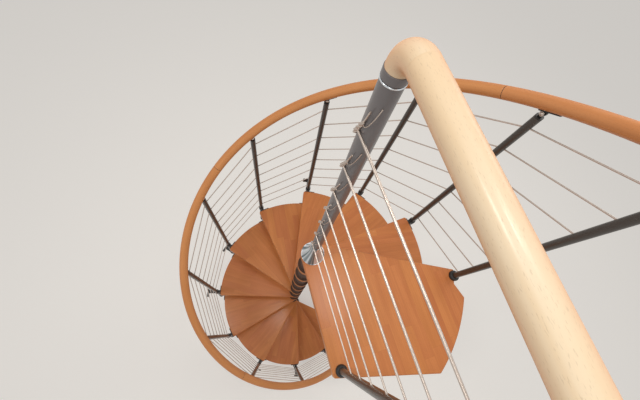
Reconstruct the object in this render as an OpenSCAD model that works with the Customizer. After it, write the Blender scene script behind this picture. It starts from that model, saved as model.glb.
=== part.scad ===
// Spiral staircase of solid beech treads round a steel column, with tube balusters,
// wire infill and a round beech handrail. The origin is on the floor, at the column's
// centre, with +X towards the baluster at the landing. Seen from above, the stair goes
// down counter-clockwise.

/* [Stair] */
// Height of the landing's top above the floor
total_rise = 2664; // [2200:12:3240]
// Turn from one tread to the next, in degrees
tread_turn = 31.43; // [26:0.01:34]
// Radius of the treads' outer edge
tread_r = 600; // [480:10:760]
// Thickness of the treads and the landing
tread_t = 40; // [30:1:50]
// Width of the bevel that eases the edges of the treads and the landing
edge_bevel = 4; // [2:0.5:10]
// How far each nosing runs ahead of its baluster, in degrees
nosing_lead = 2.9; // [2:0.1:4]

/* [Column] */
// Diameter of the steel pole
pole_d = 38; // [30:1:48]
// Diameter of the spacers' flanges and of the treads' eyes
hub_d = 100; // [80:1:120]
// Diameter of the spacer tubes between the flanges
spacer_d = 76; // [64:1:90]
// Diameter of the base plate
base_d = 240; // [200:5:300]
// Thickness of the base plate
base_t = 10; // [8:1:16]

/* [Balustrade] */
// Diameter of the baluster tubes
baluster_d = 25; // [20:1:32]
// Diameter of the handrails
rail_d = 42; // [38:1:58]
// Height of the outer rail's centre above the treads, at the balusters
rail_h = 938; // [850:1:1000]
// Number of infill wires in a bay
wire_count = 8; // [4:1:9]
// Diameter of the infill wires
wire_d = 5; // [3:1:6]
// Height of the lowest wire above the treads
wire_low = 50; // [40:1:90]
// Height from one wire to the next
wire_pitch = 112.5; // [80:0.5:115]
// Distance from the treads' outer edge to the round wall that the brackets reach
wall_gap = 100; // [80:5:160]

/* [Landing] */
// How far the landing's curved edge reaches past the treads' outer edge
landing_reach = 84; // [50:1:140]
// Distance from the column's centre to the landing's corner by the corner post
corner_r = 476; // [440:1:520]
// Diameter of the newel post
newel_d = 38; // [34:1:48]
// Height of the newel post above the landing, below its collar
newel_h = 995; // [860:1:1040]
// Number of wires from the newel post to the corner post
landing_wire_count = 7; // [4:1:8]
// Height of the lowest of these wires above the landing
landing_wire_low = 181; // [175:1:220]
// Height from one of these wires to the next
landing_wire_pitch = 117.6; // [80:0.1:118]

/* [Hidden] */
$fn = 64;

// Each tread stands one riser above the one below, and the landing is the last step.
treads = 11;
risers = treads + 1;
riser = total_rise / risers;

// Clearances between pieces that touch on round faces
fit = 0.3;
// Room between the treads' outer edge and the baluster tubes
edge_gap = 20;
eps = 1;

pole_r = pole_d / 2;
hub_r = hub_d / 2;
baluster_r = baluster_d / 2;
rail_r = rail_d / 2;
newel_r = newel_d / 2;
// Radius of the circle that the balusters and the outer rail stand on
ring_r = tread_r + edge_gap + baluster_r;
landing_r = tread_r + landing_reach;
wall_r = tread_r + wall_gap;
// Slope of the outer rail
rail_slope = atan(riser / (ring_r * tread_turn * PI / 180));

beech = "#c98a52";
beech_pale = "#e2b27c";
grey_paint = "#7d8288";
dark_paint = "#4a4643";
black = "#1c1c1d";
bright_steel = "#c9ccd0";

// Height of the top of the tread that is k risers below the landing
function level(k) = total_rise - k * riser;
// Height of the outer rail's centre, k risers of turn below the landing
function rail_z(k) = level(k) + rail_h;

// A point on a circle
function on_circle(r, a) = [r * cos(a), r * sin(a)];

// Places a child at baluster k, with X pointing away from the column
module at_baluster(k) {
  rotate([0, 0, k * tread_turn]) translate([ring_r, 0, level(k)]) children();
}

// Column

base_bolt_circle = 190;
base_bolt_d = 13;
plate_chamfer = 2;

module base_plate() {
  plate_r = base_d / 2;
  color(dark_paint) difference() {
    rotate_extrude() polygon([
      [0, 0],
      [plate_r, 0],
      [plate_r, base_t - plate_chamfer],
      [plate_r - plate_chamfer, base_t],
      [0, base_t]
    ]);
    for (i = [0 : 3]) {
      rotate([0, 0, 45 + 90 * i]) translate([base_bolt_circle / 2, 0, -eps])
        cylinder(d = base_bolt_d, h = base_t + 2 * eps, $fn = 32);
    }
  }
}

module centre_pole() {
  color(grey_paint) translate([0, 0, base_t]) cylinder(r = pole_r, h = total_rise - base_t);
}

flange_t = 6;
flange_chamfer = 1;
bore_r = pole_r + fit;

// A ring between a spacer tube and a tread, with its underside at a height
module flange(bottom) {
  translate([0, 0, bottom]) rotate_extrude() polygon([
    [bore_r, 0],
    [hub_r - flange_chamfer, 0],
    [hub_r, flange_chamfer],
    [hub_r, flange_t - flange_chamfer],
    [hub_r - flange_chamfer, flange_t],
    [bore_r, flange_t]
  ]);
}

// A spacer tube with a flange at each end, which holds two treads apart
module spacer(bottom, top) {
  end = flange_t + fit;
  flange(bottom);
  translate([0, 0, bottom + end]) rotate_extrude() translate([bore_r, 0])
    square([spacer_d / 2 - bore_r, top - bottom - 2 * end]);
  flange(top - flange_t);
}

module hub_spacers() {
  color(grey_paint) {
    spacer(base_t, level(treads) - tread_t);
    for (k = [0 : treads - 1]) {
      spacer(level(k + 1), level(k) - tread_t);
    }
  }
}

// Treads

// The straight edges run past the column at this distance, and meet the round eye
// at a slight angle
flank = hub_r - 1.5;
// Direction of the nosing, whose outer corner leads the baluster
nosing_angle = nosing_lead - asin(flank / tread_r);

// A wedge between two lines that pass the column on either side
module wedge(front, back, length) {
  front_start = on_circle(flank, front + 90);
  back_start = on_circle(flank, back - 90);
  polygon([
    front_start,
    front_start + on_circle(length, front),
    back_start + on_circle(length, back),
    back_start
  ]);
}

module eye_bore() {
  circle(r = bore_r);
}

module tread_outline() {
  difference() {
    union() {
      circle(r = hub_r);
      intersection() {
        circle(r = tread_r, $fn = 180);
        wedge(nosing_angle, -tread_turn - nosing_angle, 1.3 * tread_r);
      }
    }
    eye_bore();
  }
}

// What the bevels take off the top and bottom of an edge, seen from the edge's end with
// +X pointing outwards
module bevel_waste() {
  polygon([
    [-edge_bevel - eps, tread_t + eps],
    [eps, tread_t - edge_bevel - eps],
    [eps, tread_t + eps]
  ]);
  polygon([
    [-edge_bevel - eps, -eps],
    [eps, -eps],
    [eps, edge_bevel + eps]
  ]);
}

// The same along a straight edge that starts at a point, with its outside on the left
module straight_bevel(start, direction, length) {
  translate([start.x, start.y, 0]) rotate([90, 0, direction + 90]) linear_extrude(length)
    bevel_waste();
}

// The same along an arc round the column
module arc_bevel(r, direction) {
  rotate([0, 0, direction + 180]) rotate_extrude($fn = 180) translate([r, 0]) bevel_waste();
}

// The bevels of a nosing and of a rear edge, which stop short of the eye
bevel_start = 40;

module side_bevels(front, back, front_length, back_length) {
  straight_bevel(on_circle(flank, front + 90) + on_circle(bevel_start, front), front,
    front_length);
  straight_bevel(on_circle(flank, back - 90) + on_circle(bevel_start + back_length, back),
    back + 180, back_length);
}

// The tread that is k risers below the landing
module tread(k) {
  back = -tread_turn - nosing_angle;
  color(beech) rotate([0, 0, k * tread_turn]) translate([0, 0, level(k) - tread_t]) difference() {
    linear_extrude(tread_t) tread_outline();
    side_bevels(nosing_angle, back, tread_r, tread_r);
    arc_bevel(tread_r, (nosing_angle + back) / 2);
  }
}

// Landing

// The curved edge runs between these two angles
arc_start = -7.2;
arc_end = -34.7;
corner_angle = -72.5;
left_edge_angle = corner_angle + asin(flank / corner_r);
arc_corner = on_circle(landing_r, arc_end);
post_corner = on_circle(corner_r, corner_angle);
fixing_edge = post_corner - arc_corner;
// Direction of the straight edge that lies against the floor slab
fixing_angle = atan2(fixing_edge.y, fixing_edge.x);
// Beside the first baluster the landing ends just past the tube's centre, and from this
// angle on it widens to the curved edge
widening_angle = -3.1;
past_tube = 4;

module landing_outline() {
  front_start = on_circle(flank, nosing_angle + 90);
  side_r = ring_r + past_tube;
  front_length = sqrt(side_r * side_r - flank * flank);
  difference() {
    union() {
      circle(r = hub_r);
      intersection() {
        circle(r = landing_r, $fn = 180);
        polygon([
          front_start,
          front_start + on_circle(front_length, nosing_angle),
          on_circle(side_r, widening_angle),
          on_circle(landing_r, arc_start),
          on_circle(1.2 * landing_r, arc_start - 4),
          on_circle(1.2 * landing_r, arc_end + 4),
          arc_corner,
          post_corner,
          on_circle(flank, left_edge_angle - 90)
        ]);
      }
    }
    eye_bore();
    translate([ring_r, 0]) circle(r = baluster_r + fit);
  }
}

module landing() {
  color(beech) translate([0, 0, total_rise - tread_t]) difference() {
    linear_extrude(tread_t) landing_outline();
    side_bevels(nosing_angle, left_edge_angle, tread_r - bevel_start, corner_r - 0.9 * bevel_start);
    arc_bevel(landing_r, (arc_start + arc_end) / 2);
    straight_bevel(arc_corner - 0.03 * fixing_edge, fixing_angle, 1.06 * norm(fixing_edge));
  }
}

bracket_w = 110;
bracket_t = 6;
bracket_drop = 110;
bracket_reach = 80;
bracket_fillet = 10;
bracket_hole_d = 11;
bracket_hole_span = 70;
bracket_screw_d = 7;

// An angle under the landing, with X along the slab and Y towards the stair
module landing_bracket() {
  corner = bracket_t + bracket_fillet;
  difference() {
    translate([-bracket_w / 2, 0, 0]) rotate([90, 0, 90]) linear_extrude(bracket_w) difference() {
      union() {
        translate([0, -bracket_t]) square([bracket_reach, bracket_t]);
        translate([0, -bracket_drop]) square([bracket_t, bracket_drop]);
        translate([0, -corner]) square(corner);
      }
      translate([corner, -corner]) circle(r = bracket_fillet);
    }
    for (side = [-1, 1]) {
      translate([side * bracket_hole_span / 2, -eps, -0.65 * bracket_drop]) rotate([-90, 0, 0])
        cylinder(d = bracket_hole_d, h = bracket_t + 2 * eps, $fn = 32);
      translate([side * bracket_hole_span / 2, 0.7 * bracket_reach, -bracket_t - eps])
        cylinder(d = bracket_screw_d, h = bracket_t + 2 * eps, $fn = 32);
    }
  }
}

module landing_brackets() {
  color(dark_paint) for (share = [0.25, 0.75]) {
    place = arc_corner + share * fixing_edge;
    translate([place.x, place.y, total_rise - tread_t]) rotate([0, 0, fixing_angle - 180])
      landing_bracket();
  }
}

// Balusters and what holds them

// How far the tubes end below the treads
tube_end = 8;
// Height of the clamps, at the middle of the tread's thickness
clamp_h = 28;
clamp_wall = 4;
neck_w = 20;
pad_t = 6;
pad_short = 22;
pad_long = 46;
clamp_r = baluster_r + fit + clamp_wall;
bracket_ahead = 10;
wall_plate_w = 60;
wall_plate_h = 44;
wall_plate_t = 6;
arm_w = 24;
arm_h = 22;
saddle_t = 3;
saddle_l = 60;
// Height of the rail's centre over the hinge below it, and over the tube's end
hinge_drop = 36;
tube_drop = 54;
hinge_r = 8;
hinge_w = 15;
cap_h = 6;
lug_w = 9;
lug_l = 18;
foot_r = 23;
foot_h = 16;

// Turns the rail's own axis, which children have along X, to a slope along Y
module along_rail(height, slope) {
  translate([0, 0, height]) rotate([0, slope, 90]) children();
}

// A round bar along X through the origin
module bar(r, length) {
  rotate([0, 90, 0]) cylinder(r = r, h = length, center = true);
}

// A tube from a height up to the hinge under the outer rail
module baluster(bottom) {
  translate([0, 0, bottom]) cylinder(r = baluster_r, h = rail_h - tube_drop - bottom, $fn = 48);
}

module balusters() {
  color(dark_paint) {
    for (k = [0 : treads - 1]) {
      at_baluster(k) baluster(-riser - tread_t - tube_end);
    }
    at_baluster(treads) baluster(-riser);
  }
}

// A clamp round the tube with a neck to a plate on the end of a tread. Side is 1 at the
// tread's front corner and -1 at its rear corner. The plate's long side lies away from
// the corner.
module clamp(side) {
  pad_start = side > 0 ? -pad_long : -pad_short;
  pad_in = tread_r + fit;
  neck = ring_r - pad_in - pad_t - fit;
  translate([0, 0, -(tread_t + clamp_h) / 2]) {
    linear_extrude(clamp_h) difference() {
      union() {
        circle(r = clamp_r);
        translate([-neck, -neck_w / 2]) square([neck, neck_w]);
      }
      circle(r = baluster_r + fit);
    }
    linear_extrude(clamp_h) intersection() {
      translate([-ring_r, 0]) difference() {
        circle(r = pad_in + pad_t, $fn = 180);
        circle(r = pad_in, $fn = 180);
      }
      translate([-2 * clamp_r, pad_start]) square([2 * clamp_r, pad_short + pad_long]);
    }
  }
}

module baluster_clamps() {
  color(black) {
    for (k = [1 : treads]) {
      at_baluster(k) clamp(1);
      at_baluster(k - 1) translate([0, 0, -riser]) clamp(-1);
    }
  }
}

// An arm from a clamp to a plate on the wall of the stairwell
module wall_bracket() {
  reach = wall_r - ring_r;
  translate([0, 0, -tread_t / 2]) difference() {
    union() {
      translate([0, -arm_w / 2, -arm_h / 2]) cube([reach - wall_plate_t, arm_w, arm_h]);
      translate([reach - wall_plate_t, bracket_ahead - wall_plate_w / 2, -wall_plate_h / 2])
        cube([wall_plate_t, wall_plate_w, wall_plate_h]);
    }
    cylinder(r = clamp_r + fit, h = 2 * arm_h, center = true);
  }
}

// Every third tread is held to the wall at both outer corners
module wall_brackets() {
  color(black) for (k = [3 : 3 : treads]) {
    at_baluster(k) wall_bracket();
    at_baluster(k - 1) translate([0, 0, -riser]) wall_bracket();
  }
}

// What carries a rail that runs along Y: a cap on the tube, a hinge across the rail and
// a curved saddle under the rail
module rail_saddle(height, slope) {
  spread = 1.1 * rail_r;
  hinge_z = height - hinge_drop;
  cap_z = height - tube_drop;
  difference() {
    union() {
      translate([0, 0, cap_z]) cylinder(r = baluster_r, h = cap_h, $fn = 48);
      translate([0, 0, cap_z]) cylinder(r = hinge_r - 2, h = tube_drop - hinge_drop);
      translate([0, 0, hinge_z]) bar(hinge_r, hinge_w);
      translate([-lug_w / 2, -lug_l / 2, hinge_z]) cube([lug_w, lug_l, hinge_drop]);
      along_rail(height, slope) intersection() {
        bar(rail_r + fit + saddle_t, saddle_l);
        translate([-saddle_l, -spread / 2, -2 * rail_r]) cube([2 * saddle_l, spread, 2 * rail_r]);
      }
    }
    along_rail(height, slope) bar(rail_r + fit, 2 * saddle_l);
  }
}

module rail_saddles() {
  color(black) {
    for (k = [0 : treads]) {
      at_baluster(k) rail_saddle(rail_h, rail_slope);
    }
    at_corner_post() rotate([0, 0, -90]) rail_saddle(landing_rail_h, 0);
  }
}

// Infill wires

// A wire over baluster k, down to the next baluster
module bay_wire(height) {
  next = [ring_r * cos(tread_turn) - ring_r, ring_r * sin(tread_turn), -riser];
  plan = norm([next.x, next.y]);
  translate([0, 0, height]) rotate([0, 0, atan2(next.y, next.x)])
    rotate([0, atan2(plan, next.z), 0]) cylinder(d = wire_d, h = norm(next), $fn = 24);
}

// The wires between baluster k and the next one down, cut to the tubes
module wires(k) {
  color(bright_steel) difference() {
    at_baluster(k) {
      for (i = [0 : wire_count - 1]) {
        bay_wire(wire_low + i * wire_pitch);
      }
    }
    for (end = [k, k + 1]) {
      at_baluster(end) cylinder(r = baluster_r + fit, h = rail_h, $fn = 48);
    }
  }
}

// Outer handrail

rail_sides = 20;
// Turn from one ring of the sweep to the next, as a share of a tread's turn
ring_share = 0.125;
rail_joints = [-0.15, 1.35, 4.6, 7.85, 11.12];
joint_gap = 0.004;

// A point on the rail's surface, at turn k and at angle a round the rail
function rail_point(k, a) =
  let (r = ring_r + rail_r * cos(a), tilt = rail_r * sin(a))
  let (turn = k * tread_turn + tilt * sin(rail_slope) / ring_r * 180 / PI)
  [r * cos(turn), r * sin(turn), rail_z(k) + tilt * cos(rail_slope)];

// A bar through rings of points, with a flat cap at each end
module swept(points, rings) {
  walls = [
    for (i = [0 : rings - 1], j = [0 : rail_sides - 1])
      let (next = (j + 1) % rail_sides, a = i * rail_sides, b = a + rail_sides)
      each [[a + j, a + next, b + next], [a + j, b + next, b + j]]
  ];
  first_cap = [for (j = [rail_sides - 1 : -1 : 0]) j];
  last_cap = [for (j = [0 : rail_sides - 1]) rings * rail_sides + j];
  polyhedron(points, concat(walls, [first_cap, last_cap]));
}

// A stretch of the rail between two turns
module rail_section(start, end) {
  rings = ceil((end - start) / ring_share);
  points = [
    for (i = [0 : rings], j = [0 : rail_sides - 1])
      rail_point(start + (end - start) * i / rings, 360 * j / rail_sides)
  ];
  swept(points, rings);
}

module handrail(i) {
  color(beech_pale) rail_section(rail_joints[i - 1] + joint_gap, rail_joints[i] - joint_gap);
}

// Newel post and the rail along the landing

collar_h = 19;
collar_proud = 1;
collar_ring_h = 3;
groove_h = 1.5;
newel_foot_h = 5;
// How far the newel's foot reaches past the pole
newel_foot_land = 11;
cone_h = 150;
cone_r = 50;
cone_t = 2;
// Height up to which the skirt round the newel's foot is flared
flare_h = 105;
elbow_r = 39;
elbow_rings = 12;
landing_rail_h = newel_h + collar_h + elbow_r;
post_angle = -68.4;
post_distance = 457;
rail_overhang = 70;
rail_end_round = 8;

module at_corner_post() {
  rotate([0, 0, post_angle]) translate([post_distance, 0, total_rise]) children();
}

// A tube on a round foot that covers the pole's end
module newel_post() {
  foot = pole_r + newel_foot_land;
  color(grey_paint) translate([0, 0, total_rise]) rotate_extrude() polygon([
    [0, 0],
    [foot, 0],
    [foot, newel_foot_h],
    [newel_r, newel_foot_h],
    [newel_r, newel_h],
    [0, newel_h]
  ]);
}

// A flared skirt of thin metal round the foot of the newel post
module newel_cone() {
  inner = newel_r + fit;
  sleeve_r = inner + cone_t;
  spread = cone_r - sleeve_r;
  flare_r = (spread * spread + flare_h * flare_h) / (2 * spread);
  color(bright_steel) translate([0, 0, total_rise]) rotate_extrude() union() {
    translate([inner, flare_h]) square([cone_t, cone_h - flare_h]);
    intersection() {
      translate([inner, 0]) square([cone_r - inner, flare_h]);
      translate([sleeve_r + flare_r, flare_h]) difference() {
        circle(r = flare_r + cone_t, $fn = 180);
        circle(r = flare_r, $fn = 180);
      }
    }
  }
}

// A ring, a groove and a band between the newel post and the elbow
module newel_collar() {
  outer = newel_r + collar_proud;
  groove = newel_r - collar_proud;
  color(grey_paint) translate([0, 0, total_rise + newel_h]) rotate_extrude() polygon([
    [0, 0],
    [outer, 0],
    [outer, collar_ring_h],
    [groove, collar_ring_h],
    [groove, collar_ring_h + groove_h],
    [outer, collar_ring_h + groove_h],
    [outer, collar_h],
    [0, collar_h]
  ]);
}

// A point on the elbow, at angle t along its bend and angle a round it. It swells from
// the newel post's diameter to the rail's.
function elbow_point(t, a) =
  let (r = newel_r + (rail_r - newel_r) * t / 90, reach = elbow_r - r * cos(a))
  [elbow_r - reach * cos(t), -r * sin(a), reach * sin(t)];

// The quarter bend from the newel post to the landing's rail
module rail_elbow() {
  points = [
    for (i = [0 : elbow_rings], j = [0 : rail_sides - 1])
      elbow_point(90 * i / elbow_rings, 360 * j / rail_sides)
  ];
  color(beech_pale) translate([0, 0, total_rise + newel_h + collar_h])
    rotate([0, 0, post_angle]) swept(points, elbow_rings);
}

module landing_handrail() {
  length = post_distance + rail_overhang - elbow_r;
  color(beech_pale) rotate([0, 0, post_angle])
    translate([elbow_r, 0, total_rise + landing_rail_h]) rotate([0, 90, 0]) rotate_extrude() union() {
      square([rail_r, length - rail_end_round]);
      square([rail_r - rail_end_round, length]);
      translate([rail_r - rail_end_round, length - rail_end_round]) circle(r = rail_end_round);
    }
}

module corner_post() {
  color(dark_paint) at_corner_post()
    cylinder(r = baluster_r, h = landing_rail_h - tube_drop, $fn = 48);
}

// A domed ring round the foot of a tube
module post_foot() {
  inner = baluster_r + fit;
  rotate_extrude() polygon([
    [inner, 0],
    [foot_r, 0],
    [foot_r, 0.35 * foot_h],
    [foot_r - 3, 0.75 * foot_h],
    [inner + 3, foot_h],
    [inner, foot_h]
  ]);
}

module post_feet() {
  color(black) {
    at_baluster(treads) translate([0, 0, -riser]) post_foot();
    at_baluster(0) post_foot();
    at_corner_post() post_foot();
  }
}

module landing_wires() {
  color(bright_steel) difference() {
    rotate([0, 0, post_angle]) for (i = [0 : landing_wire_count - 1]) {
      translate([0, 0, total_rise + landing_wire_low + i * landing_wire_pitch]) rotate([0, 90, 0])
        cylinder(d = wire_d, h = post_distance, $fn = 24);
    }
    translate([0, 0, total_rise]) cylinder(r = newel_r + fit, h = newel_h);
    at_corner_post() cylinder(r = baluster_r + fit, h = newel_h, $fn = 48);
  }
}

base_plate();
centre_pole();
hub_spacers();
tread(11);  // tread_01
tread(10);  // tread_02
tread(9);  // tread_03
tread(8);  // tread_04
tread(7);  // tread_05
tread(6);  // tread_06
tread(5);  // tread_07
tread(4);  // tread_08
tread(3);  // tread_09
tread(2);  // tread_10
tread(1);  // tread_11
landing();
landing_brackets();
balusters();
baluster_clamps();
wall_brackets();
rail_saddles();
wires(10);  // wires_01
wires(9);  // wires_02
wires(8);  // wires_03
wires(7);  // wires_04
wires(6);  // wires_05
wires(5);  // wires_06
wires(4);  // wires_07
wires(3);  // wires_08
wires(2);  // wires_09
wires(1);  // wires_10
wires(0);  // wires_11
handrail(4);  // handrail_1
handrail(3);  // handrail_2
handrail(2);  // handrail_3
handrail(1);  // handrail_4
newel_post();
newel_cone();
newel_collar();
rail_elbow();
landing_handrail();
corner_post();
post_feet();
landing_wires();
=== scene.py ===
import math

import bmesh
import bpy
import numpy as np
from bpy.props import FloatProperty, FloatVectorProperty, IntProperty, PointerProperty
from mathutils import Matrix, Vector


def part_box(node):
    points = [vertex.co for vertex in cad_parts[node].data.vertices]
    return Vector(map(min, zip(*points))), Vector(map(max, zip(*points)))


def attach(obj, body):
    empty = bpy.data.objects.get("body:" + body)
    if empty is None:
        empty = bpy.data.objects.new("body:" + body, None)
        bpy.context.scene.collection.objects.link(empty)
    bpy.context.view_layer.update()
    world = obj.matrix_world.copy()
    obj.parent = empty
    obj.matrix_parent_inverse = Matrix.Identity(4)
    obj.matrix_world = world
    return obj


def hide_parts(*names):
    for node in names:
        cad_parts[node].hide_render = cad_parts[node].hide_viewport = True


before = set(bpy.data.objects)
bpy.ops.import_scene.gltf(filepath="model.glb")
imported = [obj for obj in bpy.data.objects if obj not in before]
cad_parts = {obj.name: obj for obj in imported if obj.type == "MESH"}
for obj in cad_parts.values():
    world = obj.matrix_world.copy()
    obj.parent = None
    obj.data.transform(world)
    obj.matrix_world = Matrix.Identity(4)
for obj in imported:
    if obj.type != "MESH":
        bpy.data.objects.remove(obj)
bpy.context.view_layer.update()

bl_info = {
    "name": "Spiral staircase",
    "version": (1, 0, 0),
    "blender": (4, 5, 0),
    "location": "View3D > Sidebar > Staircase",
    "description": "Finishes a spiral staircase with beech treads and wires",
    "category": "Object",
}

LANDING_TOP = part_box("landing")[1].z
TREADS = sum(name.startswith("tread_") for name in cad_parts)
RISER = (LANDING_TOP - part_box("tread_01")[1].z) / TREADS


def linear(colour):
    """An sRGB hex colour as linear red, green and blue: a channel up to 0.04045 is divided
    by 12.92, and a larger one is ((c + 0.055) / 1.055) to the power 2.4."""
    channels = np.array([int(colour[i:i + 2], 16) for i in (1, 3, 5)]) / 255
    low = channels / 12.92
    high = ((channels + 0.055) / 1.055) ** 2.4
    return tuple(np.where(channels <= 0.04045, low, high).tolist())


def colour_property(name, description, colour):
    """A colour that a user can change, with an sRGB hex default."""
    return FloatVectorProperty(name=name, description=description, subtype="COLOR",
                               size=3, min=0, max=1, default=linear(colour))


def length_property(name, description, default):
    """A length in metres that a user can change."""
    return FloatProperty(name=name, description=description, unit="LENGTH",
                         default=default, min=0, precision=4)


def angle_property(name, description, degrees):
    """An angle that a user can change."""
    return FloatProperty(name=name, description=description, subtype="ANGLE",
                         default=math.radians(degrees))


class StairSizes(bpy.types.PropertyGroup):
    """Sizes of the staircase. Directions are anticlockwise from that of the first baluster,
    which stands beside the landing, as seen from above."""

    turn: angle_property("Turn", "Turn from one tread to the next", 31.43)
    tread_radius: length_property("Tread radius", "Radius of the treads' outer edge", 0.6)
    board: length_property("Board", "Thickness of the treads and the landing", 0.04)
    edge: length_property("Edge", "Radius of the boards' rounded edges", 0.005)
    corner: length_property("Corner", "Radius of the boards' corners", 0.009)
    lead: angle_property("Nosing lead", "How far each nosing runs ahead of its baluster",
                         2.9)
    bore: length_property("Bore", "Radius of the bores for the pole", 0.0193)
    hub: length_property("Hub", "Radius of the treads' eyes and the flanges", 0.05)
    flank: length_property("Flank", "Distance from the pole to the steps' edges", 0.0485)
    spacer: length_property("Spacer", "Radius of the spacer tubes", 0.038)
    flange: length_property("Flange", "Thickness of the spacers' flanges", 0.006)
    landing_radius: length_property("Landing radius", "Radius of the landing's arc", 0.684)
    landing_side: angle_property("Landing side", "Direction of the landing's corner by "
                                 "the first baluster", -3.1)
    arc_start: angle_property("Arc start", "Direction of the arc's end by the first "
                              "baluster", -7.2)
    arc_end: angle_property("Arc end", "Direction of the arc's other end", -34.7)
    corner_turn: angle_property("Corner direction", "Direction of the landing's corner by "
                                "the corner post", -72.5)
    corner_distance: length_property("Corner distance", "From the pole to the landing's "
                                     "corner by the corner post", 0.476)
    ring: length_property("Ring", "Radius of the circle of balusters", 0.6325)
    tube: length_property("Tube", "Radius of the baluster tubes", 0.0125)
    tube_end: length_property("Tube end", "Length of a tube under its lower tread", 0.008)
    rail: length_property("Rail", "Radius of the handrails", 0.021)
    rail_height: length_property("Rail height", "Height of the rail over a tread", 0.938)
    rail_end: length_property("Rail end", "The landing's rail runs so far past its post",
                              0.07)
    tube_drop: length_property("Tube drop", "Height of the rail over the tubes' ends",
                               0.054)
    hinge_drop: length_property("Hinge drop", "Height of the rail over the hinges", 0.036)
    wires: IntProperty(name="Wires", description="Wires in a bay", default=8, min=1)
    wire: length_property("Wire", "Radius of the wires", 0.0025)
    wire_low: length_property("Lowest wire", "Height of the lowest wire", 0.05)
    wire_pitch: length_property("Wire pitch", "Height from wire to wire", 0.1125)
    newel: length_property("Newel", "Radius of the newel post", 0.019)
    newel_height: length_property("Newel height", "Height of the newel post", 0.995)
    collar: length_property("Collar", "Height of the collar on the newel post", 0.019)
    elbow: length_property("Elbow", "Radius of the elbow's bend", 0.039)
    post_turn: angle_property("Post direction", "Direction from the newel to the corner "
                              "post", -68.4)
    post_distance: length_property("Post distance", "From newel to corner post", 0.457)
    landing_wires: IntProperty(name="Landing wires", default=7, min=1,
                               description="Wires from the newel to the corner post")
    landing_wire_low: length_property("Lowest landing wire", "Height of the lowest", 0.181)
    landing_wire_pitch: length_property("Landing wire pitch", "From wire to wire", 0.1176)
    skirt_height: length_property("Skirt height", "Height of the newel's skirt", 0.15)
    skirt_flare: length_property("Skirt flare", "Height of its curved part", 0.105)
    skirt_radius: length_property("Skirt radius", "Radius of the skirt's foot", 0.05)
    skirt_sheet: length_property("Skirt sheet", "Thickness of the skirt's sheet", 0.0019)


class StairColours(bpy.types.PropertyGroup):
    """Colours of the staircase's finishes."""

    beech: colour_property("Beech", "Lacquered beech of the treads", "#d4874c")
    beech_dark: colour_property("Beech figure", "Darker figure of the treads", "#ba6d38")
    rail_beech: colour_property("Rail beech", "Beech of the outer rail", "#d8955f")
    rail_dark: colour_property("Rail figure", "Darker figure of the outer rail", "#be7a45")
    # painted light: the landing's rail and elbow take a paler copy of the beech, standing
    # in for the stronger light that falls on them
    pale_beech: colour_property("Pale beech", "Beech of the landing's rail", "#e6dcc6")
    painted_lit_figure: colour_property("Pale figure", "Figure of the landing's rail", "#dcc4a0")
    # painted shade: sheen tones that darken the rails' sides seen at a slant, where the
    # light falls off
    rail_edge_shade: colour_property("Rail rim", "Outer rail's lacquer at a slant", "#8a4418")
    lit_rail_edge_shade: colour_property("Pale rim", "Landing rail's lacquer at a slant", "#c8783a")
    grey_paint: colour_property("Grey paint", "Paint of the newel post", "#706b6c")
    dark_paint: colour_property("Dark paint", "Paint of the dark tubes", "#403832")
    # painted reflection: the spacers' warm brown stands in for the beech's warm light
    # reflected onto their steel
    spacer_paint_with_painted_bounce: colour_property("Matt paint", "Paint of the spacers", "#4d3427")
    nylon: colour_property("Nylon", "Moulded clamps and caps", "#211f1f")
    chrome: colour_property("Chrome", "Bright plate", "#e6ecf2")
    # painted reflection: the darker blue-grey streaks stand in for the surroundings
    # reflected in the skirt's plate
    chrome_painted_reflection: colour_property("Chrome streaks", "Darker streaks in it", "#66777c")
    steel: colour_property("Steel", "Wires, bolts and screws", "#cfc2b8")
    floor: colour_property("Floor", "Pale floor", "#eeebe7")


# Finishes

def feed(node, inputs):
    """Sets or links a node's inputs, by name or number."""
    for key, value in inputs.items():
        if isinstance(value, bpy.types.NodeSocket):
            node.id_data.links.new(value, node.inputs[key])
        else:
            node.inputs[key].default_value = value


def add_node(tree, kind, inputs=None, output=0, **settings):
    """Adds a node, sets its settings, feeds its inputs and returns one of its outputs."""
    node = tree.nodes.new("ShaderNode" + kind)
    for key, value in settings.items():
        setattr(node, key, value)
    feed(node, inputs or {})
    return node.outputs[output]


def new_finish(name, values):
    """The nodes of a new material, and its Principled shader fed with plain values."""
    material = bpy.data.materials.new(name)
    material.use_nodes = True
    shader = material.node_tree.nodes["Principled BSDF"]
    feed(shader, values)
    return material.node_tree, shader


def rgba(colour, factor=1):
    """A linear colour times a factor, at most 1, with an alpha of 1."""
    return (*(min(1, factor * channel) for channel in colour), 1)


def seen_directly(tree, elsewhere, seen):
    """A strength for what the camera sees, also in mirrors and through glass, and another
    for the light that falls on the staircase."""
    path = add_node(tree, "LightPath").node.outputs
    share = path["Is Camera Ray"]
    for ray in ("Is Glossy Ray", "Is Transmission Ray"):
        share = add_node(tree, "Math", {0: share, 1: path[ray]}, operation="MAXIMUM")
    return add_node(tree, "MapRange", {0: share, 3: elsewhere, 4: seen})


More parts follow.
